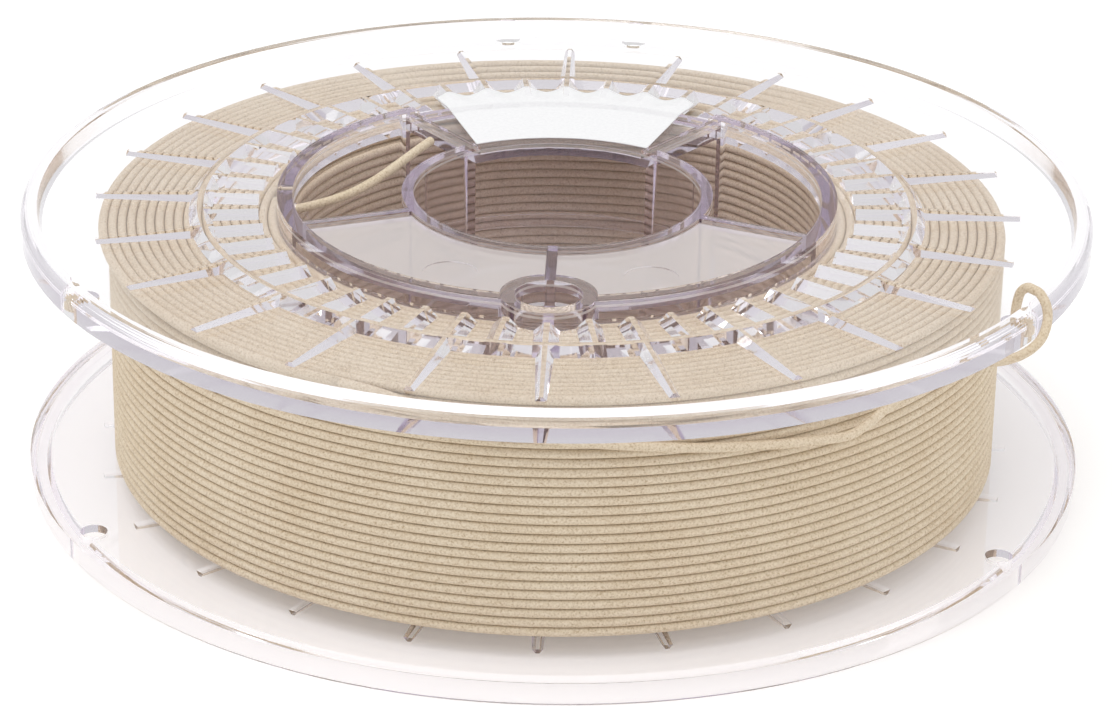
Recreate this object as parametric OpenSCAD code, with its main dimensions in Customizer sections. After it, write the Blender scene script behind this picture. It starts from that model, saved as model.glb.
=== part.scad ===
// Filament spool: a clear moulded spool wound with one strand of filament, with a paper label.
// Frame: +Z along the spool's axis, origin at the centre of the lower rest face, and the drive
// sockets towards -Y. Angles round the axis are counted from -Y towards +X.

/* [Spool] */
// Outer diameter of both flanges
flange_d = 200; // [196:1:210]
// Width over both flanges
spool_w = 55; // [52:1:70]
// Diameter of the centre bore
bore_d = 54; // [50:1:56]
// Outer diameter of the drum that carries the winding
drum_d = 105; // [103:1:107]

/* [Flange] */
// Height of a flange, from its winding face to its rest face
flange_h = 5; // [4.5:0.5:7]
// Thickness of the flange's disc
disc_t = 1.5; // [1.2:0.1:2]
// Width of the flat land on top of the rim
rim_land = 1.3; // [1:0.1:2]
// Radius of the rounded outer edge of the rim
rim_round = 1.8; // [1:0.1:2]
// Diameter of the holes that park the strand's free end
rim_hole_d = 5; // [3:0.5:6]
// Radius of the circle that the rim holes lie on
rim_hole_r = 95; // [94:0.5:95.5]

/* [Ribs] */
// Number of rib positions round a flange, every other one with a gusset
rib_count = 48; // [24:4:48]
// Radius at which the ribs begin, just outside the drum
rib_start_r = 56; // [55:0.5:58]
// Height of the ribs above the disc
rib_h = 1.75; // [1.2:0.05:2]
// Width of a rib at its foot
rib_w = 4.6; // [3:0.1:5]
// Width of the flat on top of a rib
rib_top_w = 1; // [0.6:0.1:1.6]
// Radius of the middle of the ring wall
ring_r = 66.8; // [65:0.2:68]
// Width of the ring wall at its foot
ring_w = 4.4; // [3:0.1:5]
// Radius at which the gussets run out
gusset_tip_r = 86.8; // [80:0.2:88]

/* [Hub] */
// Wall thickness of the drum
drum_wall = 2.9; // [2.6:0.1:4]
// Wall thickness of the bore tube
tube_wall = 2.2; // [1.8:0.1:3]
// Thickness of the radial webs and of the closing plates
web_t = 2; // [1.5:0.1:2.4]
// Depth of the two front closing plates below the hub's end
front_recess = 1; // [0.6:0.1:1.5]
// Outer diameter of the drive socket
socket_od = 17.4; // [16:0.2:18]
// Diameter of the hole in the drive socket
socket_d = 12.2; // [10:0.2:13]
// Distance from the spool's axis to the drive socket's axis
socket_r = 49; // [48:0.5:50]

/* [Filament] */
// Diameter of the filament
filament_d = 1.75; // [1.7:0.01:1.76]
// Number of full layers wound on the drum
layer_count = 18; // [4:1:18]
// Radial distance from one layer to the next
layer_pitch = 1.75; // [1.6:0.01:1.77]
// Distance between neighbouring turns of a layer
turn_pitch = 1.8; // [1.76:0.01:1.9]
// Number of turns of the last, unfinished layer
last_turns = 1; // [1:1:10]

/* [Label] */
// Thickness of the paper label
label_t = 0.2; // [0.1:0.05:0.3]
// Radius of the label's inner edge
label_inner_r = 32.5; // [31:0.5:36]
// Radius of the label's outer edge
label_outer_r = 61.5; // [58:0.5:63]

/* [Hidden] */
flange_r = flange_d / 2;
bore_r = bore_d / 2;
tube_r = bore_r + tube_wall;
drum_r = drum_d / 2;
drum_inner_r = drum_r - drum_wall;
mid_z = spool_w / 2;
face_z = mid_z - flange_h;          // winding face of a flange, from the middle of the spool
disc_z = face_z + disc_t;           // outer side of the disc
rib_z = disc_z + rib_h;             // top of the ribs and of the ring wall
weld = 0.3;                         // depth by which merged shapes run into each other
past = 1;                           // how far a cutting shape runs past the surface it opens
small_fn = 48;                      // facets of the small holes and marks

web_angles = [0, 67.5, 142.5, 217.5, 292.5];
front_sector = [-67.5, 67.5];
label_sector = [142.5, 217.5];
label_margin = 2.5;                 // angle from the middle of a web to where the label's sector drops
label_drop = 0.2;                   // depth of the label's plate below the ends of the drum and bore tube there
rim_hole_angles = [60, 172, 188, 300];
rim_edge_steps = 6;                 // facets round the rim's outer edge
rim_slope = 0.8;                    // run of the rim's inner slope
ring_top_w = 1.2;                   // flat on top of the ring wall
gusset_start = [3.8, 0.9, rib_h];       // foot width, top width and height at the ring wall
gusset_end = [2.4, 0.7, rib_h * 0.45];  // the same at the gusset's tip
spigot_h = 3;                       // lap joint between the two drum halves
spigot_gap = 0.05;                  // clearance on each side of the lap joint
start_hole_d = 3;                   // hole through the drum for the strand's inner end
start_hole_angle = -94;
start_hole_z = 48.2;
mark_d = 10;                        // shallow ejector marks on the front plates
mark_depth = 0.2;
mark_spots = [[-18, -38], [18, -38]];
label_half_w = [13.8, 29.1];        // half widths of the label's trapezoid at its two radii below
label_ends_y = [20, 65];
winding_r = drum_r + layer_count * layer_pitch;

// Centre line of the strand's outer end: slack down the front of the winding, up under the rim and round it,
// into a rim hole
outer_tail_route = [
    [-34.6, -77.7, 49], [-29.1, -79.9, 48.6], [-23.4, -81.7, 47.6], [-17.7, -83.1, 46.3], [-11.8, -84.2, 45.1],
    [-5.9, -84.8, 44.2], [0, -85, 43.7], [5.9, -84.8, 43.2], [11.8, -84.2, 42.6], [17.7, -83.1, 41.9],
    [23.4, -81.7, 41.2], [29.1, -79.9, 40.5], [34.6, -77.7, 39.9], [40.1, -75.4, 39.3], [46.3, -72.6, 38.8],
    [52.4, -69.6, 38.5], [55.6, -66.9, 39.2], [58.6, -64.3, 40.8], [61.6, -61.9, 42.5], [64.9, -60, 44.2],
    [68.4, -58.9, 45.8], [72.2, -58.6, 47.2], [76, -58.8, 48.2], [79.8, -58.9, 48.8], [83.2, -58.2, 49.9],
    [85.8, -56.7, 51.6], [87, -55, 53.5], [87.3, -53.5, 55.4], [86.8, -52.9, 57.4], [85.6, -51.4, 58.8],
    [84.2, -49.6, 58.8], [83, -48.1, 57.4], [82.5, -47.5, 55.2], [82.3, -47.5, 53], [82.3, -47.5, 50.5],
    [82.3, -47.5, 48], [82.3, -47.5, 47]
];
// Centre line of the strand's inner end: out of the drum wall and across the open window
inner_tail_route = [
    [-52.3, 3.7, 48.2], [-49.3, 4.1, 48.4], [-45.6, 5.3, 48.9], [-42.2, 6.8, 49.5], [-39, 9, 50.1],
    [-35.9, 12, 50.9], [-33.2, 15.4, 51.7], [-30.6, 19.2, 52.5], [-28, 23.4, 53.2], [-25.4, 27.6, 53.8]
];
tail_sides = 8;
strand_fn = 32;                     // facets round the strand in the last turns

function layer_name(i) = str("filament_layer_", i < 10 ? "0" : "", i);
$fn = 96;

// ---------------------------------------------------------------- helpers

// Turns its children to an angle counted from -Y towards +X
module at_angle(a) {
    rotate([0, 0, a]) children();
}

// Places one half of the spool, drawn with its middle plane at z = 0
module upper_place() {
    translate([0, 0, mid_z]) children();
}

// The lower half is the same moulding turned over
module lower_place() {
    translate([0, 0, mid_z]) rotate([0, 180, 0]) children();
}

// A straight round tube between two heights
module tube(r_in, r_out, z0, z1) {
    translate([0, 0, z0]) linear_extrude(z1 - z0) difference() {
        circle(r_out);
        circle(r_in);
    }
}

// A piece of a flat ring between two angles, counted from -Y towards +X
module ring_sector(r_in, r_out, z0, z1, a0, a1) {
    translate([0, 0, z0]) rotate([0, 0, a0 - 90])
        rotate_extrude(angle = a1 - a0) translate([r_in, 0]) square([r_out - r_in, z1 - z0]);
}

function unit(v) = v / norm(v);

// Direction of a route at one of its points
function route_dir(p, i) = unit(p[min(i + 1, len(p) - 1)] - p[max(i - 1, 0)]);

// A ring of points round a route's point, square to its direction
function route_ring(p, i, r) =
    let (t = route_dir(p, i), side = unit(cross(t, [0.3, 0.5, 0.8])), up = cross(side, t))
    [for (k = [0:tail_sides - 1]) let (a = 360 * k / tail_sides) p[i] + r * (cos(a) * side + sin(a) * up)];

// A round strand swept along a route
module strand(route) {
    n = len(route);
    s = tail_sides;
    rings = [for (i = [0:n - 1]) each route_ring(route, i, filament_d / 2)];
    sides = [for (i = [0:n - 2], k = [0:s - 1])
        [i * s + k, i * s + (k + 1) % s, (i + 1) * s + (k + 1) % s, (i + 1) * s + k]];
    start_cap = [for (k = [s - 1:-1:0]) k];
    end_cap = [for (k = [0:s - 1]) (n - 1) * s + k];
    polyhedron(points = rings, faces = concat(sides, [start_cap], [end_cap]), convexity = 4);
}

// ---------------------------------------------------------------- flange

// Raised rim: square outer side, rounded outer edge, flat land and a slope down to the disc
module rim() {
    land_in = flange_r - rim_round - rim_land;
    rotate_extrude() polygon(concat(
        [[land_in - rim_slope - weld, face_z], [flange_r, face_z]],
        [for (i = [0:rim_edge_steps]) let (a = 90 * i / rim_edge_steps)
            [flange_r - rim_round + rim_round * cos(a), mid_z - rim_round + rim_round * sin(a)]],
        [[land_in, mid_z], [land_in - rim_slope, disc_z]],
        [[land_in - rim_slope - weld, disc_z]]
    ));
}

// Half width of a sloping rib's section where it starts, weld below the disc's surface
function foot_half(w, top_w) = w / 2 + (w - top_w) / 2 * weld / rib_h;

// Low ring wall that ties the ribs together
module ring_wall() {
    foot = foot_half(ring_w, ring_top_w);
    rotate_extrude() polygon([
        [ring_r - foot, disc_z - weld], [ring_r + foot, disc_z - weld],
        [ring_r + ring_top_w / 2, rib_z], [ring_r - ring_top_w / 2, rib_z]
    ]);
}

// Straight rib from beside the drum to the ring wall
module rib() {
    foot = foot_half(rib_w, rib_top_w);
    translate([0, -rib_start_r, disc_z]) rotate([90, 0, 0]) linear_extrude(ring_r - rib_start_r)
        polygon([[-foot, -weld], [foot, -weld], [rib_top_w / 2, rib_h], [-rib_top_w / 2, rib_h]]);
}

// Cross-section of a gusset at radius r: foot width, top width and height in s
function gusset_section(r, s) = [
    [-s[0] / 2, -r, disc_z - weld], [s[0] / 2, -r, disc_z - weld],
    [s[1] / 2, -r, disc_z + s[2]], [-s[1] / 2, -r, disc_z + s[2]]
];

// Tapering gusset from the ring wall towards the rim
module gusset() {
    polyhedron(
        points = concat(gusset_section(ring_r, gusset_start), gusset_section(gusset_tip_r, gusset_end)),
        faces = [[0, 1, 2, 3], [7, 6, 5, 4], [0, 4, 5, 1], [1, 5, 6, 2], [2, 6, 7, 3], [3, 7, 4, 0]]
    );
}

module flange() {
    difference() {
        union() {
            tube(drum_r, flange_r - rim_round, face_z, disc_z);
            rim();
            ring_wall();
            for (i = [0:rib_count - 1]) at_angle(360 * i / rib_count) {
                rib();
                if (i % 2 == 0) gusset();
            }
        }
        translate([0, -socket_r, face_z - past]) cylinder(d = socket_od, h = flange_h + 2 * past);
        for (a = rim_hole_angles) at_angle(a) translate([0, -rim_hole_r, face_z - past])
            cylinder(d = rim_hole_d, h = flange_h + 2 * past, $fn = small_fn);
    }
}

// ---------------------------------------------------------------- hub

module web(a) {
    at_angle(a) translate([-web_t / 2, -drum_inner_r - weld, 0])
        cube([web_t, drum_inner_r - tube_r + 2 * weld, mid_z]);
}

// Closing plate of one sector, with its outer side at height top
module plate(sector, top) {
    ring_sector(tube_r - weld, drum_inner_r + weld, top - web_t, top, sector[0], sector[1]);
}

module hub_body() {
    tube(bore_r, tube_r, 0, mid_z);
    tube(drum_inner_r, drum_r, 0, mid_z);
    for (a = web_angles) web(a);
    plate(front_sector, mid_z - front_recess);
    plate(label_sector, rib_z - label_drop);
    translate([0, -socket_r, face_z]) cylinder(d = socket_od, h = flange_h);
}

// Half of the hub: bore tube, drum, webs, closing plates and drive socket
module hub_half() {
    difference() {
        hub_body();
        translate([0, -socket_r, face_z]) cylinder(d = socket_d, h = flange_h + past);
        for (p = mark_spots) translate([p[0], p[1], mid_z - front_recess - mark_depth])
            cylinder(d = mark_d, h = past, $fn = small_fn);
        ring_sector(bore_r - past, drum_r + past, rib_z, mid_z + past,
            label_sector[0] + label_margin, label_sector[1] - label_margin);
    }
}

// ---------------------------------------------------------------- sub-parts

module upper_flange() {
    color("lavender", 0.5) upper_place() flange();
}

module lower_flange() {
    color("lavender", 0.5) lower_place() flange();
}

module upper_hub() {
    lap_r = drum_inner_r + drum_wall / 2;
    color("thistle", 0.5) difference() {
        upper_place() hub_half();
        tube(drum_inner_r - past, lap_r + spigot_gap, mid_z - past, mid_z + spigot_h + spigot_gap);
        at_angle(start_hole_angle) translate([0, past - drum_inner_r, start_hole_z]) rotate([90, 0, 0])
            cylinder(d = start_hole_d, h = drum_wall + 2 * past, $fn = small_fn);
    }
}

module lower_hub() {
    lap_r = drum_inner_r + drum_wall / 2;
    color("thistle", 0.5) {
        lower_place() hub_half();
        tube(drum_inner_r, lap_r - spigot_gap, mid_z - weld, mid_z + spigot_h);
    }
}

module label() {
    color("white") upper_place() translate([0, 0, rib_z]) linear_extrude(label_t) intersection() {
        difference() {
            circle(label_outer_r);
            circle(label_inner_r);
        }
        polygon([
            [-label_half_w[0], label_ends_y[0]], [label_half_w[0], label_ends_y[0]],
            [label_half_w[1], label_ends_y[1]], [-label_half_w[1], label_ends_y[1]]
        ]);
    }
}

// One full layer of the winding; the last turns lie on the outermost layer
module filament_layer(i) {
    color("burlywood") tube(drum_r + (i - 1) * layer_pitch, drum_r + i * layer_pitch,
        flange_h, spool_w - flange_h);
}

module filament_last_turns() {
    color("tan") for (k = [0:last_turns - 1])
        translate([0, 0, spool_w - flange_h - filament_d / 2 - k * turn_pitch])
            rotate_extrude() translate([winding_r + filament_d / 2, 0])
                circle(d = filament_d, $fn = strand_fn);
}

module filament_outer_tail() {
    color("tan") strand(outer_tail_route);
}

module filament_inner_tail() {
    color("tan") strand(inner_tail_route);
}

upper_flange();
lower_flange();
upper_hub();
lower_hub();
label();
for (i = [1:layer_count]) filament_layer(i);
filament_last_turns();
filament_outer_tail();
filament_inner_tail();
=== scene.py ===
"""Looks of the filament spool: a clear moulded spool wound with one strand of wood-filled filament.

Metres, in the CAD frame: +Z along the spool's axis, origin at the centre of the lower rest face.
Angles round the axis are counted from -Y towards +X.
"""
import math

import bpy
import numpy as np
from mathutils import Matrix, Vector


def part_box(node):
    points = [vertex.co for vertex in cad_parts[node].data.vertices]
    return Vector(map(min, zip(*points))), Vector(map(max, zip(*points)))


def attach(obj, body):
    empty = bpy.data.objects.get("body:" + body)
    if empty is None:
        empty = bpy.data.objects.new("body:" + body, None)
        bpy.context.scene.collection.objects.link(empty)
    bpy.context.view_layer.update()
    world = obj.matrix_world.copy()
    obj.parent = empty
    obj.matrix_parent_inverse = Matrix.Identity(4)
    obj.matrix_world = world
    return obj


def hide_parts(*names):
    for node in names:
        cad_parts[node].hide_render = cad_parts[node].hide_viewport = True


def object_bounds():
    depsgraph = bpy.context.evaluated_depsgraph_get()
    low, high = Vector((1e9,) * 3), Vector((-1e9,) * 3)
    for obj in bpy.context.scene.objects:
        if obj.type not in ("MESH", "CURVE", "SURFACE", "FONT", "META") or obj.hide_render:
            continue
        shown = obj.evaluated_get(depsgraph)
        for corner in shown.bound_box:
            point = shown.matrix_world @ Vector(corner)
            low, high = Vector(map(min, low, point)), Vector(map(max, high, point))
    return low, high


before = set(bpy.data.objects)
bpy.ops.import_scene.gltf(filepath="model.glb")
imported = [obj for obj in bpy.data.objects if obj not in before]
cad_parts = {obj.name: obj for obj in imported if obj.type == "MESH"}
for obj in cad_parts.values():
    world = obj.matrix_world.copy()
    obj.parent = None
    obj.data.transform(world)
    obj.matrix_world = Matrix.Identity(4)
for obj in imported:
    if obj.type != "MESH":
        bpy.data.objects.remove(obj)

cad_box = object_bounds()
MM = 0.001

# ---------------------------------------------------------------- sizes, from the frame

STRAND_D = 1.75 * MM
LAYERS = sorted(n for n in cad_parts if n.startswith("filament_layer_"))
WINDING_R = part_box(LAYERS[-1])[1].x
RIM_TOP_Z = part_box("upper_flange")[1].z
FACE_LOW, FACE_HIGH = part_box(LAYERS[0])[0].z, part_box(LAYERS[0])[1].z
LAYER_PITCH = (WINDING_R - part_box(LAYERS[0])[1].x) / (len(LAYERS) - 1)
DRUM_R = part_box(LAYERS[0])[1].x - LAYER_PITCH
TURNS = 25                                 # turns of a full layer
TURN_PITCH = (FACE_HIGH - FACE_LOW) / TURNS
STEP_ZONE = (135.0, 180.0, 225.0)          # where a turn steps along, then where a layer steps out
SEGMENTS = 144                             # rings in one turn
SHOWN_SIDES, HIDDEN_SIDES = 12, 8          # sides of the strand in layers that show, and in the others

# Centre line of the strand's outer end: slack down the front of the winding, up under the rim and round
# it, into a rim hole
OUTER_TAIL = [
    (-34.6, -77.7, 49), (-29.1, -79.9, 48.6), (-23.4, -81.7, 47.6), (-17.7, -83.1, 46.3),
    (-11.8, -84.2, 45.1), (-5.9, -84.8, 44.2), (0, -85, 43.7), (5.9, -84.8, 43.2), (11.8, -84.2, 42.6),
    (17.7, -83.1, 41.9), (23.4, -81.7, 41.2), (29.1, -79.9, 40.5), (34.6, -77.7, 39.9),
    (40.1, -75.4, 39.3), (46.3, -72.6, 38.8), (52.4, -69.6, 38.5), (55.6, -66.9, 39.2),
    (58.6, -64.3, 40.8), (61.6, -61.9, 42.5), (64.9, -60, 44.2), (68.4, -58.9, 45.8),
    (72.2, -58.6, 47.2), (76, -58.8, 48.2), (79.8, -58.9, 48.8), (83.2, -58.2, 49.9),
    (85.8, -56.7, 51.6), (87, -55, 53.5), (87.3, -53.5, 55.4), (86.8, -52.9, 57.4), (85.6, -51.4, 58.8),
    (84.2, -49.6, 58.8), (83, -48.1, 57.4), (82.5, -47.5, 55.2), (82.3, -47.5, 53), (82.3, -47.5, 50.5),
    (82.3, -47.5, 48), (82.3, -47.5, 47),
]
# Centre line of the strand's inner end: out of the drum wall and across the open window
INNER_TAIL = [
    (-52.3, 3.7, 48.2), (-49.3, 4.1, 48.4), (-45.6, 5.3, 48.9), (-42.2, 6.8, 49.5), (-39, 9, 50.1),
    (-35.9, 12, 50.9), (-33.2, 15.4, 51.7), (-30.6, 19.2, 52.5), (-28, 23.4, 53.2), (-25.4, 27.6, 53.8),
]
INNER_START_ANGLE = -94.0                  # where the first layer begins, in the drum wall

# ---------------------------------------------------------------- node helpers


class Nodes:
    """A material's node tree with short calls for adding and linking nodes."""

    def __init__(self, name):
        self.material = bpy.data.materials.new(name)
        self.material.use_nodes = True
        self.tree = self.material.node_tree
        self.tree.nodes.clear()
        self.output = self.add("OutputMaterial")

    def add(self, kind, **values):
        node = self.tree.nodes.new("ShaderNode" + kind)
        for key, value in values.items():
            if hasattr(node, key):
                setattr(node, key, value)
            else:
                node.inputs[key.replace("_", " ")].default_value = value
        return node

    def link(self, source, target):
        self.tree.links.new(source, target)

    def noise(self, scale, detail=2.0, rough=0.5):
        coords = self.add("TexCoord")
        noise = self.add("TexNoise", Scale=scale, Detail=detail, Roughness=rough)
        self.link(coords.outputs["Object"], noise.inputs["Vector"])
        return noise.outputs["Fac"]

    def ramp(self, source, stops):
        ramp = self.add("ValToRGB")
        elements = ramp.color_ramp.elements
        while len(elements) < len(stops):
            elements.new(0.5)
        for element, (place, value) in zip(elements, stops):
            element.position = place
            element.color = (*value, 1) if isinstance(value, tuple) else (value, value, value, 1)
        self.link(source, ramp.inputs["Fac"])
        return ramp.outputs["Color"]

    def bump(self, height, distance, strength=1.0):
        bump = self.add("Bump", Strength=strength, Distance=distance)
        self.link(height, bump.inputs["Height"])
        return bump.outputs["Normal"]


def strand_material():
    """Matt beige plastic filled with fine wood flour: small dark specks on a pale ground."""
    n = Nodes("wood_filament")
    shader = n.add("BsdfPrincipled", Roughness=0.62)
    shader.inputs["Specular IOR Level"].default_value = 0.3
    grain = n.noise(2600, 4, 0.6)
    specks = n.ramp(grain, [(0.30, (0.44, 0.33, 0.21)), (0.44, (0.64, 0.535, 0.395)),
                            (0.62, (0.74, 0.645, 0.505))])
    drift = n.ramp(n.noise(55, 2), [(0.3, (0.93, 0.90, 0.86)), (0.7, (1.0, 1.0, 1.0))])
    mix = n.add("Mix", data_type="RGBA", blend_type="MULTIPLY")
    mix.inputs["Factor"].default_value = 1.0
    n.link(specks, mix.inputs["A"])
    n.link(drift, mix.inputs["B"])
    n.link(mix.outputs["Result"], shader.inputs["Base Color"])
    n.link(n.bump(grain, 0.05 * MM, 0.5), shader.inputs["Normal"])
    n.link(n.ramp(grain, [(0.3, 0.75), (0.7, 0.55)]), shader.inputs["Roughness"])
    n.link(shader.outputs["BSDF"], n.output.inputs["Surface"])
    return n.material


HAZE = 0.4                                 # share of milky surface on the closing plates
HAZE_DEPTH = 0.25 * MM                     # how far from a haze height a face may lie and still be milky
HAZE_COLOUR = (0.89, 0.85, 0.84, 1)
DEPTH_COLOUR = (0.81, 0.76, 0.845, 1)      # what the clear plastic lets through along its depth
FLANGE_DEPTH_TINT, HUB_DEPTH_TINT = 28, 55
PLATE_INSET = 1 * MM                       # how far the closing plates lie inside the spool's two ends
DEEPEST_REFRACTION = 5.5                   # bounces after which a ray goes straight through clear plastic


def clear_material(name, tint, through, depth_tint, haze_heights=()):
    """Polished clear plastic that lamps shine through, with the faint waves of a moulded surface.

    The tint is the refracting surface's, and through is the colour of the rays that pass straight on.
    Light is taken up along the depth, depth_tint per metre, which gives the edges their lavender.
    Faces at the haze heights are slightly milky, as the closing plates of the hub are.
    """
    n = Nodes(name)
    glass = n.add("BsdfPrincipled", IOR=1.4)
    glass.inputs["Base Color"].default_value = (*tint, 1)
    glass.inputs["Transmission Weight"].default_value = 1.0
    waves = n.noise(90, 2)
    n.link(n.ramp(waves, [(0.3, 0.02), (0.7, 0.06)]), glass.inputs["Roughness"])
    n.link(n.bump(waves, 0.05 * MM, 0.25), glass.inputs["Normal"])
    clear = n.add("BsdfTransparent")
    clear.inputs["Color"].default_value = (*through, 1)
    path = n.add("LightPath")
    deep = n.add("Math", operation="GREATER_THAN")
    deep.inputs[1].default_value = DEEPEST_REFRACTION
    n.link(path.outputs["Ray Depth"], deep.inputs[0])
    straight = deep.outputs["Value"]
    for kind in ("Is Shadow Ray", "Is Diffuse Ray"):
        either = n.add("Math", operation="MAXIMUM")
        n.link(path.outputs[kind], either.inputs[0])
        n.link(straight, either.inputs[1])
        straight = either.outputs["Value"]
    mix = n.add("MixShader")
    n.link(straight, mix.inputs["Fac"])
    n.link(glass.outputs["BSDF"], mix.inputs[1])
    n.link(clear.outputs["BSDF"], mix.inputs[2])
    surface = mix.outputs["Shader"]
    coords = n.add("TexCoord")
    split = n.add("SeparateXYZ")
    n.link(coords.outputs["Object"], split.inputs["Vector"])
    for height in haze_heights:
        here = n.add("Math", operation="COMPARE")
        here.inputs[1].default_value = height
        here.inputs[2].default_value = HAZE_DEPTH
        n.link(split.outputs["Z"], here.inputs[0])
        share = n.add("Math", operation="MULTIPLY")
        share.inputs[1].default_value = HAZE
        n.link(here.outputs["Value"], share.inputs[0])
        milky = n.add("MixShader")
        n.link(share.outputs["Value"], milky.inputs["Fac"])
        n.link(surface, milky.inputs[1])
        n.link(n.add("BsdfDiffuse", Color=HAZE_COLOUR).outputs["BSDF"], milky.inputs[2])
        surface = milky.outputs["Shader"]
    n.link(surface, n.output.inputs["Surface"])
    depth = n.add("VolumeAbsorption", Color=DEPTH_COLOUR, Density=depth_tint)
    n.link(depth.outputs["Volume"], n.output.inputs["Volume"])
    return n.material


def paper_material():
    """Matt off-white label paper with a faint fibre grain."""
    n = Nodes("label_paper")
    shader = n.add("BsdfPrincipled", Roughness=0.6)
    fibre = n.noise(1500, 4, 0.7)
    shade = n.ramp(fibre, [(0.3, (0.76, 0.76, 0.77)), (0.7, (0.84, 0.84, 0.845))])
    n.link(shade, shader.inputs["Base Color"])
    n.link(n.bump(fibre, 0.02 * MM, 0.4), shader.inputs["Normal"])
    n.link(n.ramp(fibre, [(0.3, 0.5), (0.7, 0.65)]), shader.inputs["Roughness"])
    n.link(shader.outputs["BSDF"], n.output.inputs["Surface"])
    return n.material


FLOOR_GLOW = 0.16                          # the floor's own light, as on a light table


def floor_material():
    """Pale even floor."""
    n = Nodes("floor")
    shader = n.add("BsdfPrincipled", Roughness=0.55)
    shader.inputs["Emission Color"].default_value = (1, 1, 1, 1)
    shader.inputs["Emission Strength"].default_value = FLOOR_GLOW
    shade = n.ramp(n.noise(3, 2), [(0.3, (0.86, 0.86, 0.865)), (0.7, (0.88, 0.88, 0.88))])
    n.link(shade, shader.inputs["Base Color"])
    n.link(shader.outputs["BSDF"], n.output.inputs["Surface"])
    return n.material


# ---------------------------------------------------------------- mesh helpers


def mesh_piece(name, verts, faces, material, smooth=True):
    """A mesh object in the scene, with its material."""
    mesh = bpy.data.meshes.new(name)
    mesh.from_pydata([tuple(v) for v in verts], [], faces)
    mesh.validate()
    if smooth:
        mesh.shade_smooth()
    mesh.materials.append(material)
    piece = bpy.data.objects.new(name, mesh)
    bpy.context.scene.collection.objects.link(piece)
    return piece


def wound_strand(name, angle, radius, height, material, sides=HIDDEN_SIDES):
    """A round strand whose centre line is given by its angles in degrees, radii and heights."""
    a = np.radians(angle)
    out = np.stack([np.sin(a), -np.cos(a), np.zeros_like(a)], -1)
    centre = out * radius[:, None]
    centre[:, 2] = height
    turn = 2 * np.pi * np.arange(sides) / sides
    ring = np.cos(turn)[None, :, None] * out[:, None, :]
    ring[:, :, 2] += np.sin(turn)[None, :]
    verts = (centre[:, None, :] + ring * STRAND_D / 2).reshape(-1, 3)
    count = len(a)
    i = np.arange(count - 1)[:, None] * sides
    k = np.arange(sides)[None, :]
    k_next = (k + 1) % sides
    faces = np.stack([i + k, i + sides + k, i + sides + k_next, i + k_next], -1).reshape(-1, 4).tolist()
    faces.append(list(range(sides)))
    faces.append([(count - 1) * sides + j for j in range(sides - 1, -1, -1)])
    return mesh_piece(name, verts, faces, material)


def ease(t):
    """0 to 1 with a level start and end, and steady outside that span."""
    t = np.clip(t, 0, 1)
    return t * t * (3 - 2 * t)


# ---------------------------------------------------------------- winding


def turn_angles(first, last):
    """Evenly spaced angles from first to last, in degrees."""
    count = max(2, int(round((last - first) / 360 * SEGMENTS)) + 1)
    return np.linspace(first, last, count)


def layer_line(index, first, last):
    """Angle, radius and height of the centre line of layer index (0 is on the drum) between two angles.

    A turn lies flat until the step zone. In the zone's first half it steps along by one pitch. The
    layer's last turn doesn't, and in the zone's second half it steps out to the next layer.
    """
    start, mid, end = STEP_ZONE
    angle = turn_angles(first, last)
    turn = np.minimum(np.floor((angle - (end - 360)) / 360), TURNS - 1)
    into = angle - turn * 360
    along = np.minimum(turn + ease((into - start) / (mid - start)), TURNS - 1)
    is_last = turn >= TURNS - 1
    out = np.where(is_last, ease((into - mid) / (end - mid)), 0)
    radius = DRUM_R + (index + 0.5 + out) * LAYER_PITCH
    from_low = FACE_LOW + TURN_PITCH / 2 + along * TURN_PITCH
    upward = index % 2 == (len(LAYERS) - 1) % 2
    height = from_low if upward else FACE_LOW + FACE_HIGH - from_low
    return angle, radius, height


def make_winding(material):
    """The full layers, one piece each. They run up and down in turn, and the outer one runs up."""
    for index, node in enumerate(LAYERS):
        first = STEP_ZONE[2] - 360 if index else INNER_START_ANGLE
        last = STEP_ZONE[2] - 360 + TURNS * 360
        angle, radius, height = layer_line(index, first, last)
        sides = SHOWN_SIDES if index in (0, len(LAYERS) - 1) else HIDDEN_SIDES
        piece = wound_strand("wound_" + node[len("filament_"):], angle, radius, height, material, sides)
        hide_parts(node)
        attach(piece, "root")


LAST_TURN_MEET = 20                        # degrees over which the last turn bends to meet the outer end


def make_last_turn(material):
    """The unfinished outer layer: part of one turn under the upper flange, up to the outer end."""
    x, y, z = (v * MM for v in OUTER_TAIL[0])
    last = math.degrees(math.atan2(x, -y))
    angle = turn_angles(STEP_ZONE[2] - 360, last)
    meet = ease((angle - last + LAST_TURN_MEET) / LAST_TURN_MEET)
    base_r, base_z = WINDING_R + LAYER_PITCH / 2, FACE_HIGH - TURN_PITCH / 2
    radius = base_r + (math.hypot(x, y) - base_r) * meet
    height = base_z + (z - base_z) * meet
    piece = wound_strand("wound_last_turn", angle, radius, height, material, SHOWN_SIDES)
    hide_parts("filament_last_turns")
    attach(piece, "root")


# ---------------------------------------------------------------- free ends


def smooth_route(points, steps=5):
    """The route as a smooth curve through its points, in metres."""
    p = np.array(points, float) * MM
    padded = np.vstack([2 * p[0] - p[1], p, 2 * p[-1] - p[-2]])
    line = []
    for i in range(1, len(padded) - 2):
        a, b, c, d = padded[i - 1:i + 3]
        for t in np.arange(steps) / steps:
            line.append(0.5 * (2 * b + (c - a) * t + (2 * a - 5 * b + 4 * c - d) * t ** 2
                               + (3 * b - 3 * c + d - a) * t ** 3))
    return np.array(line + [p[-1]])


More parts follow.
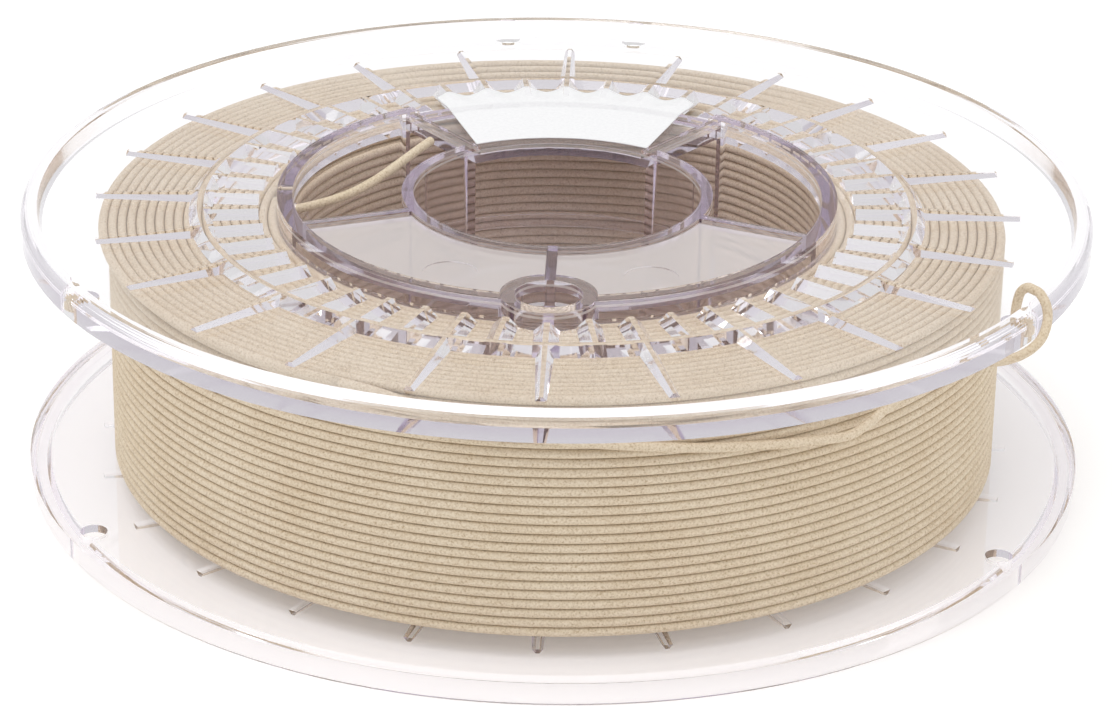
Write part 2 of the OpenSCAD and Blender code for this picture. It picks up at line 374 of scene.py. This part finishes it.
def make_tail(name, route, node, material):
    """One of the strand's free ends, as a round cord along its route and no higher than its CAD node."""
    line = smooth_route(route)
    line[:, 2] = np.minimum(line[:, 2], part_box(node)[1].z - STRAND_D / 2)
    curve = bpy.data.curves.new(name, "CURVE")
    curve.dimensions = "3D"
    curve.bevel_depth = STRAND_D / 2
    curve.bevel_resolution = 4
    curve.use_fill_caps = True
    spline = curve.splines.new("POLY")
    spline.points.add(len(line) - 1)
    for point, place in zip(spline.points, line):
        point.co = (*place, 1)
    spline.use_smooth = True
    curve.materials.append(material)
    tail = bpy.data.objects.new(name, curve)
    bpy.context.scene.collection.objects.link(tail)
    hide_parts(node)
    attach(tail, "root")


# ---------------------------------------------------------------- label

RIB_PITCH = 7.5                            # degrees from rib to rib
RIB_TOP_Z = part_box("label")[0].z
LABEL_R = (32.5 * MM, 61.5 * MM)
LABEL_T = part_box("label")[1].z - RIB_TOP_Z
LABEL_SIDE = (7 * MM, 0.34)                # half width at the axis, and its growth along +Y
LABEL_SAG = 1.2 * MM                       # how far the paper hangs between two ribs at its outer edge
LABEL_FLATTEN = 0.8                        # below 1 the sag is broader than a cosine wave
LABEL_GRID = (48, 160)
LABEL_THINNING = 0.9                       # keeps the paper's top just inside the CAD plate's


def make_label(material):
    """Paper over the hub's back plate: flat inside the drum, and hanging between the ribs outside it."""
    rows, columns = LABEL_GRID
    slope = math.atan(LABEL_SIDE[1])
    verts = []
    for i in range(rows + 1):
        r = LABEL_R[0] + (LABEL_R[1] - LABEL_R[0]) * i / rows
        half = slope + math.asin(LABEL_SIDE[0] * math.cos(slope) / r)
        reach = float(ease(np.array((r - DRUM_R) / (LABEL_R[1] - DRUM_R))))
        for j in range(columns + 1):
            a = half * (2 * j / columns - 1)
            between = 0.5 - 0.5 * math.cos(2 * math.pi * math.degrees(a) / RIB_PITCH)
            verts.append((r * math.sin(a), r * math.cos(a),
                          RIB_TOP_Z - LABEL_SAG * reach * between ** LABEL_FLATTEN))
    width = columns + 1
    faces = [(i * width + j, (i + 1) * width + j, (i + 1) * width + j + 1, i * width + j + 1)
             for i in range(rows) for j in range(columns)]
    label = mesh_piece("label_sheet", verts, faces, material)
    solid = label.modifiers.new("thickness", "SOLIDIFY")
    solid.thickness = LABEL_T * LABEL_THINNING
    solid.offset = 1
    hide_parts("label")
    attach(label, "root")


# ---------------------------------------------------------------- studio

# The camera's place, the point it looks at, its roll, and its lens in mm on a 36 mm wide sensor
CAMERA_AT = Vector((17.05, -683.4, 327.0)) * MM
CAMERA_AIM = Vector((0.56, 0.01, 19.70)) * MM
CAMERA_ROLL = math.radians(0.936)
LENS = 126.54
SENSOR = 36
CLIP = (0.05, 50)


def make_camera():
    data = bpy.data.cameras.new("camera")
    data.lens = LENS
    data.sensor_width = SENSOR
    data.clip_start, data.clip_end = CLIP
    camera = bpy.data.objects.new("camera", data)
    bpy.context.scene.collection.objects.link(camera)
    back = (CAMERA_AT - CAMERA_AIM).normalized()
    right = Vector((0, 0, 1)).cross(back).normalized()
    up = back.cross(right)
    c, s = math.cos(CAMERA_ROLL), math.sin(CAMERA_ROLL)
    right, up = c * right + s * up, c * up - s * right
    camera.matrix_world = Matrix.Translation(CAMERA_AT) @ Matrix((right, up, back)).transposed().to_4x4()
    bpy.context.scene.camera = camera


def make_lamp(name, place, aim, size, power):
    """A rectangular area lamp, facing the aim point."""
    data = bpy.data.lights.new(name, "AREA")
    data.shape = "RECTANGLE"
    data.size, data.size_y = size
    data.energy = power
    lamp = bpy.data.objects.new(name, data)
    lamp.location = place
    lamp.rotation_mode = "QUATERNION"
    lamp.rotation_quaternion = (Vector(aim) - Vector(place)).to_track_quat("-Z", "Y")
    bpy.context.scene.collection.objects.link(lamp)


CLEAR_WALLS = 24                           # clear surfaces a line of sight may cross
FLOOR_SIZE = 6.0                           # half the floor's side
FLOOR_DROP = 0.05 * MM
DOME_HEIGHTS = (0.3, 0.8)                  # sines of the elevations between which the sky brightens
DOME_LIGHT = (0.72, 0.95)                  # the sky's strength at those two heights


def make_studio():
    """Floor, sky, two lamps, and the settings that views through many clear walls need."""
    size = FLOOR_SIZE
    floor = mesh_piece("floor", [(-size, -size, 0), (size, -size, 0), (size, size, 0), (-size, size, 0)],
                       [(0, 1, 2, 3)], floor_material(), smooth=False)
    floor.location.z = cad_box[0].z - FLOOR_DROP
    world = bpy.context.scene.world or bpy.data.worlds.new("world")
    bpy.context.scene.world = world
    world.use_nodes = True
    tree = world.node_tree
    coords = tree.nodes.new("ShaderNodeTexCoord")
    split = tree.nodes.new("ShaderNodeSeparateXYZ")
    dome = tree.nodes.new("ShaderNodeMapRange")
    dome.inputs["From Min"].default_value, dome.inputs["From Max"].default_value = DOME_HEIGHTS
    dome.inputs["To Min"].default_value, dome.inputs["To Max"].default_value = DOME_LIGHT
    tree.links.new(coords.outputs["Generated"], split.inputs["Vector"])
    tree.links.new(split.outputs["Z"], dome.inputs["Value"])
    tree.links.new(dome.outputs["Result"], tree.nodes["Background"].inputs["Strength"])
    tree.nodes["Background"].inputs["Color"].default_value = (1, 1, 1, 1)
    make_lamp("key", (-0.5, -0.25, 1.3), (0, 0, 0), (0.9, 0.9), 6.5)
    make_lamp("side", (1.1, -0.2, 0.5), (0, 0, 0.03), (0.3, 1.0), 2)
    bpy.context.scene.view_settings.view_transform = "Standard"
    for limit in ("max_bounces", "transmission_bounces", "glossy_bounces", "transparent_max_bounces"):
        setattr(bpy.context.scene.cycles, limit, CLEAR_WALLS)


# ---------------------------------------------------------------- build

make_camera()
strand = strand_material()
make_tail("outer_tail", OUTER_TAIL, "filament_outer_tail", strand)
make_tail("inner_tail", INNER_TAIL, "filament_inner_tail", strand)
make_winding(strand)
make_last_turn(strand)
make_label(paper_material())
flange_clear = clear_material("clear_flange", (0.995, 0.99, 0.995), (0.985, 0.98, 0.985),
                              FLANGE_DEPTH_TINT)
hub_clear = clear_material("clear_hub", (0.995, 0.988, 0.995), (0.99, 0.985, 0.99), HUB_DEPTH_TINT,
                           (cad_box[0].z + PLATE_INSET, RIM_TOP_Z - PLATE_INSET))
for node, material in (("upper_flange", flange_clear), ("lower_flange", flange_clear),
                       ("upper_hub", hub_clear), ("lower_hub", hub_clear)):
    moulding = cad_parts[node]
    moulding.data.materials.clear()
    moulding.data.materials.append(material)
make_studio()
